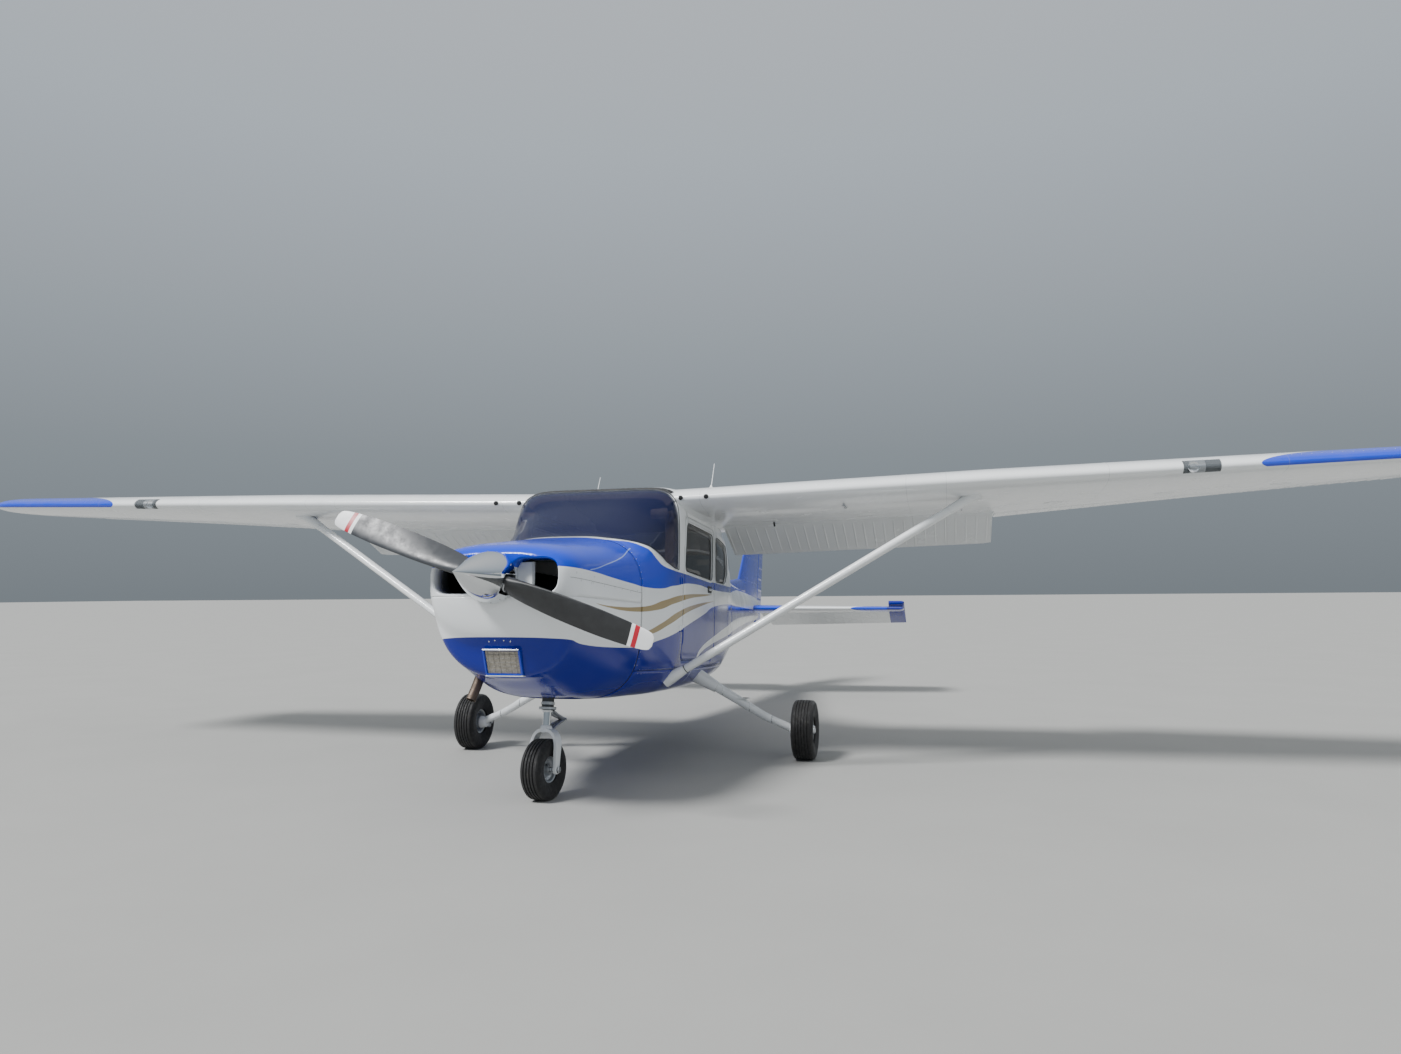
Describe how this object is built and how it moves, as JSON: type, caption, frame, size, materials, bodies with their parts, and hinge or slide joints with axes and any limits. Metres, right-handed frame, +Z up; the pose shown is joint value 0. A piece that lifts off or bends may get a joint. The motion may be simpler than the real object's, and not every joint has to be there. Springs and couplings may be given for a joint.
{
  "type": "light aircraft",
  "caption": "High-wing strut-braced single-engine light aircraft with fixed nose-wheel gear, opening doors, turning propeller and wheels, and hinged control surfaces.",
  "frame": {"origin": "on the ground under the middle of the aircraft's length and width", "axes": "+X towards the aircraft's left wing tip, +Y towards the tail, +Z up"},
  "size_m": [11, 8.3838, 2.3514],
  "materials": {
    "white_paint": "gloss",
    "blue_paint": "gloss",
    "bare_metal": "satin",
    "polished_metal": "polished",
    "blade": "satin",
    "engine": "matte",
    "exhaust": "satin",
    "filter": "matte",
    "window": "gloss",
    "cabin_trim": "matte",
    "seat_cloth": "matte",
    "tyre": "matte"
  },
  "bodies": {
    "airframe": {"cowl_upper": "blue_paint", "cowl_lower": "white_paint", "air_filter": "filter", "firewall": "bare_metal", "engine_block": "engine", "exhaust_pipe": "exhaust", "cabin_floor": "blue_paint", "cabin_side_left": "white_paint", "cabin_side_right": "white_paint", "cabin_roof": "white_paint", "windshield": "window", "rear_window": "window", "quarter_window_left": "window", "quarter_window_right": "window", "instrument_panel": "cabin_trim", "seat_front_left": "seat_cloth", "seat_front_right": "seat_cloth", "seat_rear": "seat_cloth", "baggage_bulkhead": "cabin_trim", "tailcone": "white_paint", "tailplane": "white_paint", "fin": "blue_paint", "nose_strut": "white_paint", "wing_left": "white_paint", "wing_right": "white_paint", "wing_tip_left": "blue_paint", "wing_tip_right": "blue_paint", "wing_strut_left": "white_paint", "wing_strut_right": "white_paint", "main_leg_left": "white_paint", "main_leg_right": "white_paint"},
    "propeller_unit": {"propeller": "blade", "spinner": "polished_metal"},
    "nose_steering": {"nose_fork": "white_paint"},
    "nose_wheel": {"nose_tyre": "tyre", "nose_rim": "bare_metal"},
    "main_wheel_left": {"main_left_tyre": "tyre", "main_left_rim": "bare_metal"},
    "main_wheel_right": {"main_right_tyre": "tyre", "main_right_rim": "bare_metal"},
    "door_left": {"cabin_door_left": "white_paint", "door_window_left": "window"},
    "door_right": {"cabin_door_right": "white_paint", "door_window_right": "window"},
    "baggage_hatch": {"baggage_door": "white_paint"},
    "left_aileron": {"aileron_left": "white_paint"},
    "right_aileron": {"aileron_right": "white_paint"},
    "left_flap": {"flap_left": "white_paint"},
    "right_flap": {"flap_right": "white_paint"},
    "rudder_body": {"rudder": "blue_paint"},
    "elevator_body": {"elevator": "white_paint"}
  },
  "joints": [
    {"name": "propeller_spin", "type": "hinge", "parent": "airframe", "child": "propeller_unit", "pos_m": [0, -3.82843, 1.29149], "axis": [0, -0.9984, 0.0558], "continuous": true},
    {"name": "nose_steer", "type": "hinge", "parent": "airframe", "child": "nose_steering", "pos_m": [0, -3.0806, 0.17482], "axis": [0, 0.1599, 0.9871], "range_deg": [-22, 38]},
    {"name": "nose_wheel_spin", "type": "hinge", "parent": "nose_steering", "child": "nose_wheel", "pos_m": [0, -3.0806, 0.17482], "axis": [0.9903, -0.1374, 0.0223], "continuous": true},
    {"name": "main_wheel_left_spin", "type": "hinge", "parent": "airframe", "child": "main_wheel_left", "pos_m": [1.304, -1.41107, 0.20939], "axis": [1, 0, 0], "continuous": true},
    {"name": "main_wheel_right_spin", "type": "hinge", "parent": "airframe", "child": "main_wheel_right", "pos_m": [-1.304, -1.41107, 0.20939], "axis": [1, 0, 0], "continuous": true},
    {"name": "door_left_hinge", "type": "hinge", "parent": "airframe", "child": "door_left", "pos_m": [0.602, -2.16508, 0.74979], "axis": [0, -0.1584, -0.9874], "range_deg": [0, 50]},
    {"name": "door_right_hinge", "type": "hinge", "parent": "airframe", "child": "door_right", "pos_m": [-0.602, -2.16508, 0.74979], "axis": [0, 0.1584, 0.9874], "range_deg": [0, 50]},
    {"name": "baggage_door_hinge", "type": "hinge", "parent": "airframe", "child": "baggage_hatch", "pos_m": [0.563, -0.56142, 1.11084], "axis": [0, -0.0558, -0.9984], "range_deg": [0, 100]},
    {"name": "aileron_left_hinge", "type": "hinge", "parent": "airframe", "child": "left_aileron", "pos_m": [2.682, -0.86066, 1.81721], "axis": [0.9929, -0.1059, 0.0549], "range_deg": [-17.5, 17.5]},
    {"name": "aileron_right_hinge", "type": "hinge", "parent": "airframe", "child": "right_aileron", "pos_m": [-2.682, -0.86066, 1.81721], "axis": [0.9929, 0.1059, -0.0549], "range_deg": [-17.5, 17.5]},
    {"name": "flap_left_hinge", "type": "hinge", "parent": "airframe", "child": "left_flap", "pos_m": [0.626, -1.01056, 1.73621], "axis": [-0.9995, 0.0014, -0.0313], "range_deg": [-25, 5]},
    {"name": "flap_right_hinge", "type": "hinge", "parent": "airframe", "child": "right_flap", "pos_m": [-0.626, -1.01056, 1.73621], "axis": [-0.9995, -0.0014, 0.0313], "range_deg": [-25, 5]},
    {"name": "rudder_hinge", "type": "hinge", "parent": "airframe", "child": "rudder_body", "pos_m": [0, 3.43398, 0.82736], "axis": [0, 0.2779, 0.9606], "range_deg": [-17.7, 17.7]},
    {"name": "elevator_hinge", "type": "hinge", "parent": "airframe", "child": "elevator_body", "pos_m": [0, 3.27018, 0.97874], "axis": [1, 0, 0], "range_deg": [0, 51]}
  ],
  "couplings": [
    {"joint": "aileron_right_hinge", "follows": "aileron_left_hinge", "ratio": -1},
    {"joint": "flap_right_hinge", "follows": "flap_left_hinge", "ratio": 1}
  ]
}
